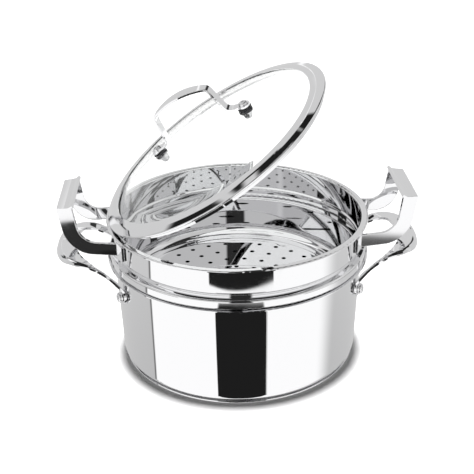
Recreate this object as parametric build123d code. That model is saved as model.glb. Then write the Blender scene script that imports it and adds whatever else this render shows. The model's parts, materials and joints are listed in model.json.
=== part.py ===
from build123d import *
import os
from math import asin, cos, degrees, radians, sin, sqrt

# A steamer pot, 24 cm across inside: a deep pot, a steaming basket that nests in its mouth
# and a domed glass lid. +Z is up, the handles lie along X, and the origin is the centre of
# the underside of the base. The lid is drawn as it rests, tipped up on the basket's rim.
# Lengths are in millimetres and angles in degrees.

# Clearances and cutting aids
seat_gap = 0.3
bend_gap = 0.1
hole_play = 0.1
overrun = 1.0

# Pot: a pressed steel shell with a flared rim. Every other radius follows from its rim's
sheet = 0.8
pot_rim_radius = 127.6
pot_rim_height = 104.8
pot_flare_width = 6.4
pot_wall_taper = 3.6
pot_top_radius = pot_rim_radius - pot_flare_width
pot_low_radius = pot_top_radius - pot_wall_taper
pot_corner_radius = 6.0
pot_flare_radius = 3.4

# Base: a heat-spreading disc pressed into a steel cap
base_height = 2.6
base_inset = 1.6
base_radius = pot_low_radius - base_inset
base_cap_sheet = 0.8
base_cap_corner = 1.2
base_core_inset = 0.8

# Pot handles: a strap bent to a U, its outer edge curled down, its feet flat on the wall
strap_thickness = 2.8
pot_grip_width = 19.0
pot_grip_overhang = 38.9
pot_grip_reach = pot_rim_radius + pot_grip_overhang
pot_grip_rise = 14.6
pot_grip_height = pot_rim_height + pot_grip_rise
pot_foot_width = 14.5
pot_foot_side = 47.5
rivet_drop = 24.6
rivet_height = pot_rim_height - rivet_drop
foot_curl_radius = 4.6
curl_lip = 2.4

# Rivets: shank through wall and foot, a tall domed head outside and a flat one inside
rivet_shank_radius = 2.4
rivet_head_radius = 5.2
rivet_head_height = 4.4
rivet_inner_radius = 4.4
rivet_inner_height = 1.3
rivet_round_share = 0.72

# Basket, upward from the pot's rim: shoulder, waist, upright band and hemmed rim
seat_height = pot_rim_height + seat_gap + sheet
shoulder_height = 7.8
shoulder_swell = 5.0
shoulder_rise = 2.7
waist_depth = 2.6
waist_drop = 2.9
waist_height = seat_height + shoulder_height + shoulder_rise
band_foot_height = waist_height + waist_drop
band_height = 25.2
basket_rim_height = band_foot_height + band_height
basket_rim_inset = 0.9
basket_rim_radius = pot_rim_radius - basket_rim_inset
basket_lip_width = 6.7
band_radius = basket_rim_radius - basket_lip_width
basket_hem = 1.9
basket_hem_corner = 1.2
basket_lip_corner = 1.9
press_radius = 1.5

# Basket, downward into the pot: inner wall and perforated floor
basket_play = 3.0
basket_radius = pot_top_radius - sheet - basket_play - sheet
basket_depth = 41.9
basket_floor_height = seat_height - basket_depth
basket_corner = 12.0

# Steam holes in the basket's floor, in as many rings as its flat part has room for
steam_hole_radius = 2.4
steam_ring_pitch = 18.0
steam_rings = int((basket_radius - basket_corner - steam_hole_radius) // steam_ring_pitch)
steam_holes_per_ring = 6

# Basket handles: upright bent straps with a folded, dished grip
grip_overhang = 41.9
grip_outer_reach = basket_rim_radius + grip_overhang
grip_rise = 23.9
grip_outer_height = basket_rim_height + grip_rise
leg_lean = 7.6
leg_outer_low_reach = grip_outer_reach - leg_lean
leg_foot_rise = 3.1
leg_low_height = band_foot_height + leg_foot_rise
leg_height = 12.2
leg_outer_bend = 28.0
leg_inner_bend = 18.0
leg_thickness = 3.0
grip_width = 14.4
grip_half_length = 35.7
grip_tilt_rise = 3.2
grip_dish_bend = 3.0
grip_thickness = 2.6
leg_splay = 11.0
tab_length = 13.0
tab_margin = 1.2
tab_thickness = 2.4

# Lid: domed glass held in a wide steel band, with a skirt that drops inside the rim
lid_edge_inset = 4.2
lid_radius = basket_rim_radius - lid_edge_inset
lid_band_width = 14.2
lid_band_slope_rise = 3.3
lid_band_crown = 0.55
lid_hem_height = 2.3
lid_hem_corner = 1.1
lid_ledge_width = 12.5
lid_skirt_inset = 4.6
lid_skirt_radius = lid_radius - lid_skirt_inset
lid_skirt_drop = 4.4
glass_thickness = 4.0
glass_edge_inset = 6.5
glass_edge_radius = lid_radius - glass_edge_inset
glass_rise = 20.6
glass_flat_width = 9.5
glass_foot_radius = glass_edge_radius - glass_flat_width
glass_edge_drop = 1.6

# Lid handle and what fastens it to the glass
knob_half_span = 49.0
knob_height = 37.1
knob_foot_length = 15.5
knob_foot_inner = knob_half_span - knob_foot_length
knob_leg_lean = 4.5
knob_knee_half_span = knob_foot_inner - knob_leg_lean
knob_arch_slope = 19.5
knob_arch_bend_share = 2.48
knob_width = 14.0
knob_leg_width = 9.4
knob_thickness = 2.2
knob_foot_radius = 6.2
knob_leg_bend = 9.0
knob_knee_bend = 5.0
gasket_radius = 6.6
gasket_thickness = 1.6
washer_radius = 6.0
washer_thickness = 1.0
screw_radius = 2.4
screw_head_radius = 4.3
screw_head_height = 2.4
screw_socket_radius = 1.9
screw_socket_depth = 1.3
screw_round_share = 0.5
nut_radius = 4.6
nut_height = 3.4
nut_cap_height = 2.4
nut_cap_share = 0.8
nut_cap_round_share = 0.9
knob_turn = 165.4

# Steam vent: an eyelet through the glass with a seal beneath
vent_inset = 15.5
vent_reach = glass_foot_radius - vent_inset
vent_turn = 76.0
vent_bore_radius = 2.0
vent_tube_radius = 3.0
vent_flange_radius = 5.6
vent_flange_height = 1.0
vent_seal_height = 1.2
vent_curl_radius = 4.2

# How the lid rests: pushed to the left until its skirt meets the rim, then tipped up about
# the rounding of its edge there
lid_tip_turn = 185.7
lid_tip_angle = 33.2


def spun(outline):
    """A ring or dish: the outline, drawn as radius and height, turned about the upright axis."""
    return revolve(Plane.XZ * outline, Axis.Z)


def sheet_outline(points, bends, thickness):
    """A closed outline of even thickness, to the left of a bent line as it runs."""
    corners = [Vector(*point) for point in points]
    runs = [(end - start).normalized() for start, end in zip(corners, corners[1:])]
    lefts = [Vector(-run.Y, run.X) for run in runs]
    far_corners = [corners[0] + lefts[0] * thickness]
    far_bends = []
    for corner, before, after, bend in zip(corners[1:], lefts, lefts[1:], bends):
        far_corners.append(corner + (before + after) * (thickness / (1 + before.dot(after))))
        turns_left = before.cross(after).Z > 0
        far_bends.append(bend - thickness if turns_left else bend + thickness)
    far_corners.append(corners[-1] + lefts[-1] * thickness)
    near = FilletPolyline(*corners, radius=bends)
    far = FilletPolyline(*far_corners, radius=far_bends)
    return make_face([near, Line(corners[-1], far_corners[-1]), far, Line(far_corners[0], corners[0])])


def bar(outline, half_width):
    """A bar whose side view is the outline, centred on the XZ plane."""
    return extrude(Plane.XZ * outline, amount=half_width, both=True)


def on_wall(turn, reach, height):
    """A place on a wall: its own Z points outward from the upright axis."""
    return Rot(0, 0, turn) * Pos(reach, 0, height) * Rot(0, 90, 0)


def stood(low, high, radius):
    """An upright round bar between two heights."""
    return Pos(0, 0, (low + high) / 2) * Cylinder(radius, high - low)


# The pot's wall tapers from under its rim down to its base
pot_rim_under = pot_rim_height - sheet


def pot_wall_radius(height):
    """Outer radius of the pot's slightly tapered wall at a height."""
    share = (height - base_height) / (pot_rim_under - base_height)
    return pot_low_radius + share * (pot_top_radius - pot_low_radius)


# Each rivet stands square to the pot's axis, at the middle of a handle's foot
rivet_wall_radius = pot_wall_radius(rivet_height)
rivet_turn = degrees(asin(pot_foot_side / rivet_wall_radius))
foot_seat_radius = pot_wall_radius(rivet_height + pot_foot_width / 2) + bend_gap


def rivet_places(reach):
    """Where the two rivets of the right handle stand, at a distance from the axis."""
    return [on_wall(turn, reach, rivet_height) for turn in (-rivet_turn, rivet_turn)]


def pot_shell():
    points = [
        (0, base_height),
        (pot_low_radius, base_height),
        (pot_top_radius, pot_rim_under),
        (pot_rim_radius, pot_rim_under),
    ]
    shell = spun(sheet_outline(points, [pot_corner_radius, pot_flare_radius], sheet))
    for place in rivet_places(rivet_wall_radius):
        bore = place * Cylinder(rivet_shank_radius + hole_play, pot_foot_width)
        shell -= bore
        shell -= mirror(bore, Plane.YZ)
    return shell


def pot_wall_body(gap):
    """The pot's outer form below its flare, grown by a gap."""
    outline = Polyline(
        (0, base_height), (pot_low_radius + gap, base_height), (pot_top_radius + gap, pot_rim_under),
        (0, pot_rim_under), close=True,
    )
    return spun(make_face(outline))


def base_cap():
    points = [
        (0, 0),
        (base_radius, 0),
        (base_radius, base_height - base_cap_sheet),
    ]
    return spun(sheet_outline(points, [base_cap_corner], base_cap_sheet))


def base_core():
    radius = base_radius - base_cap_sheet - base_core_inset
    disc = stood(base_cap_sheet, base_height, radius)
    low_edge = disc.edges().group_by(Axis.Z)[0]
    return chamfer(low_edge, base_core_inset)


# Stations along half a pot handle, from the middle of the grip to the rivet. Each has its
# share of the reach, of the side and of the rise from foot to grip, its share of the turn
# in plan, its slope downward, its shares of the grip's width and of the strap's thickness,
# its curl and its tilt. The last two lie inside the flat foot.
pot_handle_station_shares = [
    (1.000, 0.00, 1.000, 1.000, 0, 1.00, 1, 75, 0),
    (0.987, 0.29, 1.000, 0.974, 0, 1.00, 1, 75, 0),
    (0.908, 0.60, 0.990, 0.753, 3, 0.95, 1, 70, 0),
    (0.743, 0.82, 0.947, 0.470, 13, 0.80, 1, 52, 8),
    (0.587, 0.907, 0.873, 0.356, 24, 0.66, 1, 34, 18),
    (0.413, 0.952, 0.735, 0.276, 34, 0.54, 1, 18, 25),
    (0.266, 0.973, 0.582, 0.206, 41, 0.52, 1, 10, 22),
    (0.132, 0.981, 0.389, 0.135, 53, 0.58, 1, 6, 12),
    (0.040, 0.992, 0.240, 0.056, 70, 0.68, 0.96, 4, 4),
    (0.000, 1.000, 0.140, 0.000, 90, 0.68, 0.80, 3, 0),
    (0.000, 1.000, 0.040, 0.000, 90, 0.68, 0.80, 3, 0),
]


def strap_section(width, thickness, curl):
    """Across the strap: flat, then a curl downward of the given angle, then a short lip."""
    down = radians(curl)
    half = radians(curl / 2)
    top = thickness / 2
    bend = (width / 2 - foot_curl_radius, top)
    centre = (bend[0], top - foot_curl_radius)

    def on_curl(radius, angle):
        return (centre[0] + radius * sin(angle), centre[1] + radius * cos(angle))

    def past_curl(radius):
        x, y = on_curl(radius, down)
        return (x + curl_lip * cos(down), y - curl_lip * sin(down))

    outer = foot_curl_radius
    inner = foot_curl_radius - thickness
    start = (-width / 2, top)
    under = (-width / 2, -top)
    edges = [
        Line(start, bend),
        ThreePointArc(bend, on_curl(outer, half), on_curl(outer, down)),
        Line(on_curl(outer, down), past_curl(outer)),
        Line(past_curl(outer), past_curl(inner)),
        Line(past_curl(inner), on_curl(inner, down)),
        ThreePointArc(on_curl(inner, down), on_curl(inner, half), on_curl(inner, 0)),
        Line(on_curl(inner, 0), under),
        Line(under, start),
    ]
    return make_face(edges)


def strap_station(reach, side, rise, turn, slope, width, thickness, curl, tilt):
    """One section of the strap, set across its run."""
    foot_radius = foot_seat_radius + strap_thickness / 2
    foot_x = foot_radius * cos(radians(rivet_turn))
    foot_y = foot_radius * sin(radians(rivet_turn))
    grip_z = pot_grip_height - strap_thickness / 2
    place = Vector(
        foot_x + reach * (pot_grip_reach - foot_x),
        -side * foot_y,
        rivet_height + rise * (grip_z - rivet_height),
    )
    foot_heading = 180 - rivet_turn
    heading = radians(foot_heading + turn * (270 - foot_heading))
    drop = radians(slope)
    run = Vector(cos(heading) * cos(drop), sin(heading) * cos(drop), -sin(drop))
    across = Vector(-sin(heading), cos(heading), 0)
    across = across.rotate(Axis((0, 0, 0), run), tilt)
    plane = Plane(origin=place, x_dir=across, z_dir=run)
    return plane * strap_section(width * pot_grip_width, thickness * strap_thickness, curl)


def pot_handle():
    """The right handle of the pot."""
    half = loft([strap_station(*shares) for shares in pot_handle_station_shares])
    half -= pot_wall_body(bend_gap)
    handle = half + mirror(half, Plane.XZ)
    middle = foot_seat_radius + strap_thickness / 2
    for place in rivet_places(middle):
        handle += place * Cylinder(pot_foot_width / 2, strap_thickness)
    for place in rivet_places(middle):
        handle -= place * Cylinder(rivet_shank_radius + hole_play, pot_foot_width)
    return handle


def rivet():
    """One rivet, its own Z outward, with zero at the pot's outer face."""
    foot_face = foot_seat_radius + strap_thickness + bend_gap - rivet_wall_radius
    inner_face = -sheet - seat_gap
    head = stood(foot_face, foot_face + rivet_head_height, rivet_head_radius)
    head = fillet(head.edges().group_by(Axis.Z)[-1], rivet_head_height * rivet_round_share)
    tail = stood(inner_face - rivet_inner_height, inner_face, rivet_inner_radius)
    tail = chamfer(tail.edges().group_by(Axis.Z)[0], rivet_inner_height / 2)
    return head + tail + stood(inner_face, foot_face, rivet_shank_radius)


def pot_rivets():
    """The two rivets of the right handle."""
    return Compound([place * rivet() for place in rivet_places(rivet_wall_radius)])


def basket_shell():
    shoulder_radius = band_radius + shoulder_swell
    points = [
        (basket_rim_radius, basket_rim_height - basket_hem),
        (basket_rim_radius, basket_rim_height),
        (band_radius, basket_rim_height),
        (band_radius, band_foot_height),
        (band_radius - waist_depth, waist_height),
        (shoulder_radius, seat_height + shoulder_height),
        (shoulder_radius, seat_height),
        (basket_radius, seat_height),
        (basket_radius, basket_floor_height),
        (0, basket_floor_height),
    ]
    bends = [basket_hem_corner, basket_lip_corner] + [press_radius] * 5 + [basket_corner]
    shell = spun(sheet_outline(points, bends, sheet))
    hole = Pos(0, 0, basket_floor_height) * Cylinder(steam_hole_radius, 4 * sheet)
    holes = [hole]
    for ring in range(1, steam_rings + 1):
        count = ring * steam_holes_per_ring
        for step in range(count):
            holes.append(Rot(0, 0, 360 * step / count) * Pos(ring * steam_ring_pitch, 0, 0) * hole)
    return shell - holes


# Across the top of the basket's grip, from its outer edge to its inner one: each point has its
# share of the grip's width and its share of the rise
grip_line_shares = [(0, 0), (0.50, 0.10), (0.76, 0.22), (1, 1)]


def grip_line(drop):
    """Top of the basket's grip seen from the side, lowered by a distance."""
    height = grip_outer_height - drop
    return [
        (grip_outer_reach - across * grip_width, height + up * grip_tilt_rise)
        for across, up in grip_line_shares
    ]


def basket_handle():
    """The right handle of the basket: a folded grip, two legs spread toward the wall, two tabs."""
    grip_middle = grip_outer_reach - grip_width / 2
    splay = radians(leg_splay)
    leg_y = grip_half_length - leg_thickness / 2 / cos(splay)
    tab_seat = band_radius + sheet + bend_gap

    # Where a leg, drawn inward from the grip, meets the middle of its tab
    along = grip_middle * cos(splay) - leg_y * sin(splay)
    away = grip_middle ** 2 + leg_y ** 2 - (tab_seat + tab_thickness / 2) ** 2
    leg_reach = along - sqrt(along ** 2 - away)
    wall_x = grip_middle - leg_reach
    wall_y = leg_y + leg_reach * sin(splay)

    leg_top = leg_low_height + leg_height
    line = grip_line(grip_thickness / 2)
    outer = FilletPolyline(
        (wall_x, leg_low_height), (leg_outer_low_reach, leg_low_height), line[0],
        radius=leg_outer_bend,
    )
    inner = FilletPolyline(
        line[-1], (leg_outer_low_reach - leg_height, leg_top), (wall_x, leg_top),
        radius=leg_inner_bend,
    )
    leg_face = make_face([outer, Polyline(*line), inner, Line((wall_x, leg_top), (wall_x, leg_low_height))])
    leg = Pos(-grip_middle, 0, 0) * bar(leg_face, leg_thickness / 2)

    grip_face = sheet_outline(grip_line(0), [grip_dish_bend] * 2, grip_thickness)
    grip = bar(grip_face, grip_half_length + grip_width)
    spread = grip_width * sin(splay) / cos(splay)
    near = grip_middle - grip_width
    far = grip_middle + grip_width
    plan = make_face(
        Polyline(
            (near, grip_half_length + spread), (far, grip_half_length - spread),
            (far, -grip_half_length + spread), (near, -grip_half_length - spread), close=True,
        )
    )
    handle = grip & extrude(plan, amount=2 * grip_outer_height)

    # Each tab starts behind its leg, is turned away from the other leg and lies along the wall
    start = degrees(asin((wall_y - leg_thickness) / tab_seat))
    sweep = degrees((tab_length + leg_thickness) / tab_seat)
    tab_face = Pos(tab_seat + tab_thickness / 2, leg_low_height + leg_height / 2) * Rectangle(
        tab_thickness, leg_height + 2 * tab_margin
    )
    tab = Rot(0, 0, start) * revolve(Plane.XZ * tab_face, Axis.Z, revolution_arc=sweep)
    for side in (-1, 1):
        handle += Pos(grip_middle, side * leg_y, 0) * Rot(0, 0, -side * leg_splay) * leg
    handle += tab
    handle += mirror(tab, Plane.XZ)
    return handle


# Heights in the closed lid, and the sphere that its glass is part of
lid_under = basket_rim_height + seat_gap
lid_edge_top = lid_under + lid_hem_height
lid_lip_top = lid_edge_top + lid_band_slope_rise
glass_low = lid_under + sheet + bend_gap
glass_foot_height = lid_lip_top - sheet - seat_gap
glass_apex = glass_foot_height + glass_rise
dome_radius = (glass_foot_radius ** 2 + glass_rise ** 2) / (2 * glass_rise)
dome_centre = glass_apex - dome_radius


def on_dome(reach, turn):
    """A place on the glass's outer face: its own Z stands square to the glass."""
    tilt = degrees(asin(reach / dome_radius))
    return Rot(0, 0, turn) * Pos(0, 0, dome_centre) * Rot(0, tilt, 0) * Pos(0, 0, dome_radius)


def knob_places():
    """Where the two feet of the lid's handle stand."""
    return [on_dome(knob_half_span, knob_turn), on_dome(knob_half_span, knob_turn + 180)]


def at_feet(piece):
    """Two of a piece, one at each foot of the lid's handle."""
    return Compound([place * piece for place in knob_places()])


def lid_rim():
    middle = lid_radius - lid_band_width / 2
    points = [
        (lid_radius - lid_ledge_width, lid_under),
        (lid_radius, lid_under),
        (lid_radius, lid_edge_top),
        (middle, (lid_lip_top + lid_edge_top) / 2 + lid_band_crown),
        (lid_radius - lid_band_width, lid_lip_top),
    ]
    bends = [lid_hem_corner, lid_hem_corner, lid_band_width]
    rim = spun(sheet_outline(points, bends, sheet))
    skirt = stood(lid_under - lid_skirt_drop, lid_under + sheet / 2, lid_skirt_radius)
    skirt -= stood(lid_under - lid_skirt_drop - overrun, lid_under + sheet, lid_skirt_radius - sheet)
    return rim + skirt


def lid_glass():
    edge_height = glass_foot_height - glass_edge_drop
    under_radius = dome_radius - glass_thickness
    under_foot = sqrt(under_radius ** 2 - (glass_low - dome_centre) ** 2)

    def on_arc(radius, reach):
        return (reach, dome_centre + sqrt(radius ** 2 - reach ** 2))

    apex = (0, glass_apex)
    foot = (glass_foot_radius, glass_foot_height)
    edge = (glass_edge_radius, edge_height)
    low_edge = (glass_edge_radius, glass_low)
    low_foot = (under_foot, glass_low)
    low_apex = (0, glass_apex - glass_thickness)
    glass = spun(
        make_face(
            [
                ThreePointArc(apex, on_arc(dome_radius, glass_foot_radius / 2), foot),
                Line(foot, edge),
                Line(edge, low_edge),
                Line(low_edge, low_foot),
                ThreePointArc(low_foot, on_arc(under_radius, under_foot / 2), low_apex),
                Line(low_apex, apex),
            ]
        )
    )
    for place in knob_places():
        glass -= place * Cylinder(screw_radius + hole_play, 4 * glass_thickness)
    vent_place = on_dome(vent_reach, vent_turn)
    return glass - vent_place * Cylinder(vent_tube_radius + hole_play, 4 * glass_thickness)


def lid_handle_plan():
    """The lid handle's outline from above, stood up to its full height."""
    end = knob_half_span + knob_foot_radius
    side = knob_leg_width / 2
    corners = [(knob_knee_half_span, side), (end, side), (end, -side), (knob_knee_half_span, -side)]
    others = [(-x, -y) for x, y in corners]
    outline = [
        ThreePointArc(others[3], (0, knob_width / 2), corners[0]),
        Polyline(*corners),
        ThreePointArc(corners[3], (0, -knob_width / 2), others[0]),
        Polyline(*others),
    ]
    return extrude(make_face(outline), amount=2 * glass_apex)


def lid_handle():
    """A bent strap: arched and widest at its crown, with a foot on each gasket."""
    tilt = asin(knob_half_span / dome_radius)
    foot_seat = dome_radius + gasket_thickness
    foot = (foot_seat * sin(tilt), dome_centre + foot_seat * cos(tilt))
    foot_inner_height = foot[1] + (foot[0] - knob_foot_inner) * sin(tilt) / cos(tilt)
    slope = radians(knob_arch_slope)
    arch_bend = knob_knee_half_span * knob_arch_bend_share
    peak = glass_apex + knob_height - knob_thickness + arch_bend * (1 / cos(slope) - 1)
    half = [
        foot,
        (knob_foot_inner, foot_inner_height),
        (knob_knee_half_span, peak - knob_knee_half_span * sin(slope) / cos(slope)),
    ]
    points = [(-x, z) for x, z in half] + [(0, peak)] + half[::-1]
    half_bends = [knob_leg_bend, knob_knee_bend]
    bends = half_bends + [arch_bend] + half_bends[::-1]
    strap = bar(sheet_outline(points, bends, knob_thickness), knob_width / 2)
    handle = Rot(0, 0, knob_turn) * (strap & lid_handle_plan())
    for place in knob_places():
        handle += place * stood(gasket_thickness, gasket_thickness + knob_thickness, knob_foot_radius)
    for place in knob_places():
        handle -= place * Cylinder(screw_radius + hole_play, 4 * knob_thickness)
    return handle


# Levels down through the glass at each screw, from the glass's outer face
foot_top = gasket_thickness + knob_thickness
inner_gasket_top = -glass_thickness - bend_gap
washer_top = inner_gasket_top - gasket_thickness
nut_top = washer_top - washer_thickness


def ring(low, high, radius, bore):
    """A flat ring between two levels."""
    return stood(low, high, radius) - stood(low - overrun, high + overrun, bore)


def outer_gasket():
    return ring(0, gasket_thickness, gasket_radius, screw_radius + hole_play)


def inner_gasket():
    return ring(washer_top, inner_gasket_top, gasket_radius, screw_radius + hole_play)


def washer():
    return ring(nut_top, washer_top, washer_radius, screw_radius + hole_play)


def screw():
    head = stood(foot_top, foot_top + screw_head_height, screw_head_radius)
    head = fillet(head.edges().group_by(Axis.Z)[-1], screw_head_height * screw_round_share)
    socket_floor = foot_top + screw_head_height - screw_socket_depth
    socket = extrude(RegularPolygon(screw_socket_radius, 6), amount=2 * screw_socket_depth)
    socket = Pos(0, 0, socket_floor) * socket
    shank = stood(nut_top - nut_height, foot_top, screw_radius)
    return head + shank - socket


def cap_nut():
    body = Pos(0, 0, nut_top - nut_height) * extrude(RegularPolygon(nut_radius, 6), amount=nut_height)
    cap_radius = nut_radius * nut_cap_share
    cap = stood(nut_top - nut_height - nut_cap_height, nut_top - nut_height, cap_radius)
    cap = fillet(cap.edges().group_by(Axis.Z)[0], nut_cap_height * nut_cap_round_share)
    return body + cap - stood(nut_top - nut_height - bend_gap, nut_top + overrun, screw_radius + hole_play)


def vent_eyelet():
    """The metal eyelet of the steam vent, square to the glass."""
    curl_top = -glass_thickness - bend_gap - vent_seal_height
    curl_low = curl_top - vent_flange_height
    eyelet = stood(0, vent_flange_height, vent_flange_radius)
    eyelet = fillet(eyelet.edges().group_by(Axis.Z)[-1], vent_flange_height / 2)
    eyelet += stood(curl_top, 0, vent_tube_radius)
    eyelet += stood(curl_low, curl_top, vent_curl_radius)
    return eyelet - stood(curl_low - overrun, vent_flange_height + overrun, vent_bore_radius)


def vent_seal():
    top = -glass_thickness - bend_gap
    return ring(top - vent_seal_height, top, vent_flange_radius, vent_tube_radius + hole_play)


def tipped(piece):
    """Pushes a piece of the centred lid over, then turns it up about the edge on the rim."""
    turn = radians(lid_tip_turn)
    outward = Vector(cos(turn), sin(turn), 0)
    shift = band_radius - seat_gap - lid_skirt_radius
    edge_reach = lid_radius - lid_hem_corner + shift
    line = Axis(
        (edge_reach * outward.X, edge_reach * outward.Y, lid_under + lid_hem_corner),
        (-outward.Y, outward.X, 0),
    )
    return piece.translate(outward * shift).rotate(line, lid_tip_angle)


vent_place = on_dome(vent_reach, vent_turn)
fixed = {
    "pot_shell": pot_shell(),
    "base_core": base_core(),
    "base_cap": base_cap(),
    "pot_handle_right": pot_handle(),
    "pot_handle_left": mirror(pot_handle(), Plane.YZ),
    "pot_rivets_right": pot_rivets(),
    "pot_rivets_left": mirror(pot_rivets(), Plane.YZ),
    "basket_shell": basket_shell(),
    "basket_handle_right": basket_handle(),
    "basket_handle_left": mirror(basket_handle(), Plane.YZ),
}
closed_lid = {
    "lid_rim": lid_rim(),
    "lid_glass": lid_glass(),
    "lid_handle": lid_handle(),
    "lid_screws": at_feet(screw()),
    "lid_outer_gaskets": at_feet(outer_gasket()),
    "lid_inner_gaskets": at_feet(inner_gasket()),
    "lid_washers": at_feet(washer()),
    "lid_cap_nuts": at_feet(cap_nut()),
    "vent_eyelet": vent_place * vent_eyelet(),
    "vent_seal": vent_place * vent_seal(),
}

os.makedirs("parts", exist_ok=True)
for name, piece in fixed.items():
    export_step(piece, f"parts/{name}.step")
for name, piece in closed_lid.items():
    export_step(tipped(piece), f"parts/{name}.step")
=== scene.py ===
import json
from math import cos, pi, radians, sin

import bmesh
import bpy
from mathutils import Matrix, Vector


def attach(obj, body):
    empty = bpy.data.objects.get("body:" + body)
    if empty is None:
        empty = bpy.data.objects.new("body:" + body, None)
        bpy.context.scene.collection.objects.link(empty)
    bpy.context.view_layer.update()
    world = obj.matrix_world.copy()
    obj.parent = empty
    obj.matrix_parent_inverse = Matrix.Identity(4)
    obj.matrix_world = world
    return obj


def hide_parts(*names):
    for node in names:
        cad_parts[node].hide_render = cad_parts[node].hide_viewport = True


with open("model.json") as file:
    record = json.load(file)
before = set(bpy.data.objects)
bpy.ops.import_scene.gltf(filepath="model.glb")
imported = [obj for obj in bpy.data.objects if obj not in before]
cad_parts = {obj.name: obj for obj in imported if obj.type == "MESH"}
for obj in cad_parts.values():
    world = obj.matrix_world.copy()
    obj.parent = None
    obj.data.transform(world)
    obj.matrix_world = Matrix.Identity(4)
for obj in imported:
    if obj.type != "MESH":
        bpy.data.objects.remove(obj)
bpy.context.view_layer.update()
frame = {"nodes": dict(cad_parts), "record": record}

mm = 0.001
nodes = frame["nodes"]

# View: where the camera stands around the object, as it was fitted to the photograph's rims
photo_side = 474
focal_pixels = 953.9
sensor_width = 36 * mm
view_distance = 941.2 * mm
view_elevation = radians(25.99)
view_turn = radians(-2.49)
view_roll = radians(-0.93)
view_target = Vector((-0.49, 0.02, 115.7)) * mm

# Studio, as the steel sees it. Angles are in degrees: a turn from the camera's side, positive to
# the right, and a rise above the horizon. A brightness of 1 is paper white.
panel_light = 1.13
panel_left_turn = -90.5
panel_left_fade = 1.0
panel_right_turn = 90.0
panel_right_fade = 12.0
panel_lean = 0.6
panel_lean_rise = -28.0
seam_width = 1.1
seam_fade = 1.0
seam_light = 0.16
rear_low_light = 0.56
rear_high_light = 0.70
rear_low_rise = -40.0
rear_high_rise = -22.0
top_grey_light = 0.62
top_grey_rise = 6.0
top_grey_fade = 6.0
top_grey_side_fade = 8.0
ceiling_light = 0.03
ceiling_rise = 52.0
ceiling_fade = 1.0
dark_light = 0.014
backdrop_light = 1.0
bounce_light = 0.03

# Cards in front: name, turns from and to, rises from and to, corner, softness, brightness
front_cards = (
    ("tall card", -24.6, 23.7, -80.0, -29.8, 6.0, 0.35, dark_light),
    ("tall card's edge", 23.7, 24.7, -80.0, -30.6, 0.4, 0.30, 0.66),
    ("left card", -37.0, 25.0, -27.7, -24.5, 1.0, 0.12, 0.03),
    ("right card", 25.0, 38.0, -27.7, -25.7, 0.5, 0.30, 0.10),
    ("camera stand", -10.0, 9.0, -20.0, 62.0, 4.0, 1.50, 0.03),
    ("left flag", -122.0, -54.0, -21.0, -13.0, 2.0, 1.50, 0.04),
    ("right flag", 54.0, 122.0, -21.0, -13.0, 2.0, 1.50, 0.04),
)

# Low card over the tall one: a thin dark lens whose lower edge is bowed
lens_left = -28.8
lens_right = 29.5
lens_top = -26.8
lens_low = -29.2
lens_middle = -3.0
lens_bow = 0.00056
lens_side_fade = 0.6
lens_edge_fade = 0.10

# Cards behind, in the same order: their turn counts from the back, positive to the left
rear_cards = (
    ("upright strip", 54.0, 68.0, 16.0, 41.0, 2.0, 0.6, dark_light),
    ("lying strip", 28.0, 50.0, 45.3, 48.6, 1.0, 0.6, dark_light),
    ("eaves", 30.0, 52.0, 35.5, 43.0, 2.0, 0.8, dark_light),
    ("roof", -60.0, 31.0, 42.5, 88.0, 5.0, 0.6, dark_light),
    ("high panel", 34.0, 86.0, 49.2, 74.0, 2.0, 0.6, 1.12),
    ("small dark card", -35.0, -16.0, 26.5, 44.0, 3.0, 1.0, 0.04),
)

# A thin white streak between them, which climbs to the left
streak_turns = (-3.0, 24.0)
streak_end_fade = 2.0
streak_start_rise = 6.8
streak_slope = 1.58
streak_width = 1.1
streak_light = 1.10

# Metals: tone, lowest and highest roughness
mirror_finish = (0.86, 0.012, 0.035)
fastener_finish = (0.80, 0.05, 0.14)
heat_disc_finish = (0.76, 0.22, 0.34)
cool_tint = 1.01
wave_scale = 18.0
wave_detail = 1.0
wave_height = 0.03 * mm
strap_edge = 0.7 * mm
bevel_samples = 6

# Glass and rubber: lowest and highest roughness
glass_colour = (0.985, 0.995, 0.99, 1)
glass_roughness = (0.0, 0.02)
glass_ior = 1.32
rubber_colour = (0.02, 0.02, 0.022, 1)
rubber_roughness = (0.45, 0.65)

# Noises in the gloss: scale, detail, and the values where the roughness is lowest and highest
metal_smears = (26.0, 3.0, 0.35, 0.7)
glass_haze = (14.0, 2.0, 0.45, 0.75)
rubber_grain = (900.0, 2.0, 0.3, 0.7)

# The glass's mesh: points nearer than this are joined, and edges above this angle stay sharp
join_distance = 0.002 * mm
crease_angle = radians(28)

# Floor and lamp: the lamp is small enough for a tight shadow, and bright enough to keep the
# rest of the floor white. The shadow comes from an oval disc.
floor_albedo = 0.92
floor_radius = 12.0
key_angle = radians(9.5)
key_tilt = radians(-9)
key_strength = 5.0
disc_half_width = 122 * mm
disc_half_depth = 112.5 * mm
disc_height = 90 * mm
disc_steps = 96


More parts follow.
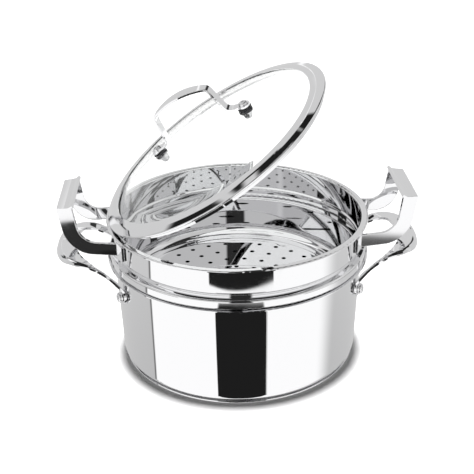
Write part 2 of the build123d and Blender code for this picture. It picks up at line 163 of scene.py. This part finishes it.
class Nodes:
    """A short way to write a node tree: each call adds one node and links what it is given."""

    def __init__(self, tree):
        self.tree = tree

    def add(self, kind, inputs=None, **settings):
        node = self.tree.nodes.new(kind)
        for name, value in settings.items():
            setattr(node, name, value)
        for key, value in (inputs or {}).items():
            if isinstance(value, bpy.types.NodeSocket):
                self.tree.links.new(value, node.inputs[key])
            else:
                node.inputs[key].default_value = value
        return node

    def math(self, operation, a, b=0.0):
        return self.add("ShaderNodeMath", {0: a, 1: b}, operation=operation).outputs[0]

    def step(self, value, low, high, out_low=0.0, out_high=1.0):
        """A soft step from out_low to out_high as the value goes from low to high."""
        inputs = {"Value": value, "From Min": low, "From Max": high,
                  "To Min": out_low, "To Max": out_high}
        return self.add("ShaderNodeMapRange", inputs, interpolation_type="SMOOTHSTEP").outputs[0]

    def mix(self, share, a, b):
        """a where share is 0, b where it is 1."""
        return self.math("ADD", self.math("MULTIPLY", a, self.math("SUBTRACT", 1.0, share)),
                         self.math("MULTIPLY", b, share))


def within(build, value, low, high, soft):
    """1 between two limits, 0 outside them, with soft edges."""
    rise = build.step(value, low - soft, low + soft)
    fall = build.step(value, high - soft, high + soft, 1.0, 0.0)
    return build.math("MULTIPLY", rise, fall)


def card_share(build, turn, rise, left, right, low, high, corner, soft):
    """1 inside a card with round corners, 0 outside it."""
    past = []
    for value, start, end in ((turn, left, right), (rise, low, high)):
        away = build.math("ABSOLUTE", build.math("SUBTRACT", value, (start + end) / 2))
        straight = (end - start) / 2 - corner
        past.append(build.math("MAXIMUM", build.math("SUBTRACT", away, straight), 0.0))
    squares = [build.math("MULTIPLY", value, value) for value in past]
    distance = build.math("SQRT", build.math("ADD", *squares))
    return build.step(distance, corner - soft, corner + soft, 1.0, 0.0)


def view_angles(build):
    """Turn from the front, turn from the back and rise of the direction that is looked in."""
    direction = build.add("ShaderNodeTexCoord").outputs["Generated"]
    axes = build.add("ShaderNodeSeparateXYZ", {0: direction}).outputs
    front = build.math("MULTIPLY", axes["Y"], -1.0)
    left = build.math("MULTIPLY", axes["X"], -1.0)
    angles = (build.math("ARCTAN2", axes["X"], front), build.math("ARCTAN2", left, axes["Y"]),
              build.math("ARCSINE", axes["Z"]))
    return [build.math("MULTIPLY", angle, 180 / pi) for angle in angles]


def panels(build, turn, rise):
    """Grey behind the object, and white panels in front, whose left edge leans and has a dark
    seam. Pale grey overhead in front, and a dark ceiling."""
    rear = build.step(rise, rear_low_rise, rear_high_rise, rear_low_light, rear_high_light)
    lean = build.math("MULTIPLY", build.math("SUBTRACT", rise, panel_lean_rise), panel_lean)
    leaning = build.math("SUBTRACT", turn, lean)
    left_edge = build.step(leaning, panel_left_turn - panel_left_fade,
                           panel_left_turn + panel_left_fade)
    right_edge = build.step(turn, panel_right_turn - panel_right_fade,
                            panel_right_turn + panel_right_fade, 1.0, 0.0)
    light = build.mix(build.math("MULTIPLY", left_edge, right_edge), rear, panel_light)
    seam = within(build, leaning, panel_left_turn - seam_width, panel_left_turn + seam_width,
                  seam_fade)
    light = build.mix(seam, light, seam_light)

    facing = within(build, turn, panel_left_turn, panel_right_turn, top_grey_side_fade)
    high = build.step(rise, top_grey_rise - top_grey_fade, top_grey_rise + top_grey_fade)
    light = build.mix(build.math("MULTIPLY", facing, high), light, top_grey_light)
    ceiling = build.step(rise, ceiling_rise - ceiling_fade, ceiling_rise + ceiling_fade)
    return build.mix(ceiling, light, ceiling_light)


def cards(build, turn, rise, light, placed):
    for _, *sides, corner, soft, brightness in placed:
        share = card_share(build, turn, rise, *sides, corner, soft)
        light = build.mix(share, light, brightness)
    return light


def bowed_lens(build, turn, rise, light):
    bow = build.math("SUBTRACT", turn, lens_middle)
    bow = build.math("MULTIPLY", build.math("MULTIPLY", bow, bow), lens_bow)
    across = within(build, turn, lens_left, lens_right, lens_side_fade)
    bowed_rise = build.math("SUBTRACT", rise, bow)
    upright = within(build, bowed_rise, lens_low, lens_top, lens_edge_fade)
    return build.mix(build.math("MULTIPLY", across, upright), light, dark_light)


def climbing_streak(build, rear_turn, rise, light):
    climb = build.math("MULTIPLY", rear_turn, streak_slope)
    climb = build.math("ADD", climb, streak_start_rise)
    beside = build.math("ABSOLUTE", build.math("SUBTRACT", rise, climb))
    along = within(build, rear_turn, *streak_turns, streak_end_fade)
    across = build.step(beside, 0.0, 2 * streak_width, 1.0, 0.0)
    return build.mix(build.math("MULTIPLY", along, across), light, streak_light)


def studio_world():
    """Soft panels and dark cards around the object, seen by its steel. The camera sees a plain
    backdrop, and the floor takes its light from the lamp."""
    world = bpy.data.worlds.new("studio")
    world.use_nodes = True
    tree = world.node_tree
    tree.nodes.clear()
    build = Nodes(tree)
    turn, rear_turn, rise = view_angles(build)
    light = panels(build, turn, rise)
    light = cards(build, turn, rise, light, front_cards)
    light = bowed_lens(build, turn, rise, light)
    light = cards(build, rear_turn, rise, light, rear_cards)
    light = climbing_streak(build, rear_turn, rise, light)

    path = build.add("ShaderNodeLightPath").outputs
    seen = build.math("MAXIMUM", path["Is Camera Ray"], path["Is Transmission Ray"])
    strength = build.mix(seen, light, backdrop_light)
    strength = build.mix(path["Is Diffuse Ray"], strength, bounce_light)
    background = build.add("ShaderNodeBackground", {"Color": (1, 1, 1, 1), "Strength": strength})
    build.add("ShaderNodeOutputWorld", {"Surface": background.outputs[0]})
    bpy.context.scene.world = world


def new_object(name, data):
    made = bpy.data.objects.new(name, data)
    bpy.context.scene.collection.objects.link(made)
    return made


def studio_floor():
    """A wide pale floor. The steel doesn't mirror it, as if it stood on a glass table."""
    mesh = bpy.data.meshes.new("floor")
    side = floor_radius
    corners = [(-side, -side, 0), (side, -side, 0), (side, side, 0), (-side, side, 0)]
    mesh.from_pydata(corners, [], [(0, 1, 2, 3)])
    floor = new_object("floor", mesh)
    material, _, shader = new_material("floor_paint")
    shader.inputs["Base Color"].default_value = (floor_albedo, floor_albedo, floor_albedo, 1)
    shader.inputs["Roughness"].default_value = 1.0
    shader.inputs["Specular IOR Level"].default_value = 0.0
    mesh.materials.append(material)
    floor.visible_glossy = False


def shadow_disc():
    """A level oval inside the pot, which stands in the lamp's way and is seen by nothing else."""
    mesh = bpy.data.meshes.new("shadow_disc")
    turns = [2 * pi * step / disc_steps for step in range(disc_steps)]
    rim = [(disc_half_width * cos(turn), disc_half_depth * sin(turn), disc_height)
           for turn in turns]
    mesh.from_pydata(rim, [], [tuple(range(disc_steps))])
    disc = new_object("shadow_disc", mesh)
    for ray in ("camera", "diffuse", "glossy", "transmission", "volume_scatter"):
        setattr(disc, "visible_" + ray, False)
    return disc


def studio_lamp():
    """A soft lamp overhead, for the floor. Only the disc casts its shadow, as wide as the photo's
    shadow at the foot of the pot."""
    data = bpy.data.lights.new("overhead", "SUN")
    data.angle = key_angle
    data.energy = key_strength
    lamp = new_object("overhead", data)
    lamp.rotation_euler.x = key_tilt
    lamp.visible_glossy = False
    lamp.visible_transmission = False
    blockers = bpy.data.collections.new("lamp_blockers")
    blockers.objects.link(shadow_disc())
    lamp.light_linking.blocker_collection = blockers


def photo_camera():
    """The camera as the photograph's, turned, rolled and moved back from its target."""
    data = bpy.data.cameras.new("camera")
    data.sensor_width = sensor_width / mm
    data.lens = focal_pixels / photo_side * sensor_width / mm
    turn = Matrix.Rotation(view_turn, 3, "Z")
    back = turn @ Vector((0, -cos(view_elevation), sin(view_elevation)))
    level = turn @ Vector((1, 0, 0))
    upright = back.cross(level)
    right = cos(view_roll) * level + sin(view_roll) * upright
    up = cos(view_roll) * upright - sin(view_roll) * level
    camera = new_object("camera", data)
    place = Matrix((right, up, back)).transposed().to_4x4()
    place.translation = view_target + view_distance * back
    camera.matrix_world = place
    bpy.context.scene.camera = camera


def new_material(name):
    material = bpy.data.materials.new(name)
    material.use_nodes = True
    shader = material.node_tree.nodes["Principled BSDF"]
    return material, Nodes(material.node_tree), shader


def noise(build, scale, detail):
    place = build.add("ShaderNodeTexCoord").outputs["Object"]
    inputs = {"Vector": place, "Scale": scale, "Detail": detail}
    return build.add("ShaderNodeTexNoise", inputs).outputs[0]


def uneven_gloss(build, shader, pattern, rough_low, rough_high):
    """Roughness that drifts between two values over the piece."""
    scale, detail, pattern_low, pattern_high = pattern
    value = noise(build, scale, detail)
    rough = build.step(value, pattern_low, pattern_high, rough_low, rough_high)
    build.tree.links.new(rough, shader.inputs["Roughness"])


def metal(name, tone, rough_low, rough_high, edge=0.0):
    """Metal with faint smears in its gloss and a slightly uneven sheet. Cut edges are rounded over
    by the given radius."""
    material, build, shader = new_material(name)
    uneven_gloss(build, shader, metal_smears, rough_low, rough_high)
    wave = noise(build, wave_scale, wave_detail)
    relief = {"Height": wave, "Strength": 1.0, "Distance": wave_height}
    bump = build.add("ShaderNodeBump", relief)
    if edge:
        rounded = build.add("ShaderNodeBevel", {"Radius": edge}, samples=bevel_samples)
        build.tree.links.new(rounded.outputs[0], bump.inputs["Normal"])
    build.tree.links.new(bump.outputs[0], shader.inputs["Normal"])
    shader.inputs["Base Color"].default_value = (tone, tone, tone * cool_tint, 1)
    shader.inputs["Metallic"].default_value = 1.0
    return material


def joined_copy(name):
    """A node's mesh again, with its doubled points joined, so that its middle shades evenly."""
    form = bmesh.new()
    form.from_mesh(nodes[name].data)
    bmesh.ops.remove_doubles(form, verts=form.verts, dist=join_distance)
    bmesh.ops.dissolve_degenerate(form, edges=form.edges, dist=join_distance)
    form.verts.index_update()
    mesh = bpy.data.meshes.new(name + "_clear")
    faces = [[corner.index for corner in face.verts] for face in form.faces]
    mesh.from_pydata([point.co.copy() for point in form.verts], [], faces)
    form.free()
    mesh.shade_smooth()
    mesh.set_sharp_from_angle(angle=crease_angle)
    return new_object(name + "_clear", mesh)


def clear_glass(name):
    material, build, shader = new_material(name)
    uneven_gloss(build, shader, glass_haze, *glass_roughness)
    shader.inputs["Base Color"].default_value = glass_colour
    shader.inputs["Transmission Weight"].default_value = 1.0
    shader.inputs["IOR"].default_value = glass_ior
    return material


def dark_rubber(name):
    material, build, shader = new_material(name)
    uneven_gloss(build, shader, rubber_grain, *rubber_roughness)
    shader.inputs["Base Color"].default_value = rubber_colour
    return material


# The straps have cut edges. Every other node takes the material of its slot.
strap_steel = metal("strap_steel", *mirror_finish, edge=strap_edge)
materials = {
    "steel": metal("mirror_steel", *mirror_finish),
    "fastener": metal("fastener_steel", *fastener_finish),
    "heat_disc": metal("plain_aluminium", *heat_disc_finish),
    "lid_glass": clear_glass("tempered_glass"),
    "gasket": dark_rubber("dark_silicone"),
}
for part in frame["record"]["subparts"]:
    name = part["node"]
    material = strap_steel if "_handle" in name else materials[part["material_slot"]]
    nodes[name].data.materials.clear()
    nodes[name].data.materials.append(material)

glass = joined_copy("lid_glass")
glass.data.materials.append(materials["lid_glass"])
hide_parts("lid_glass")
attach(glass, "lid")

studio_world()
studio_floor()
studio_lamp()
photo_camera()
bpy.context.scene.view_settings.view_transform = "Standard"
bpy.context.scene.view_settings.look = "None"
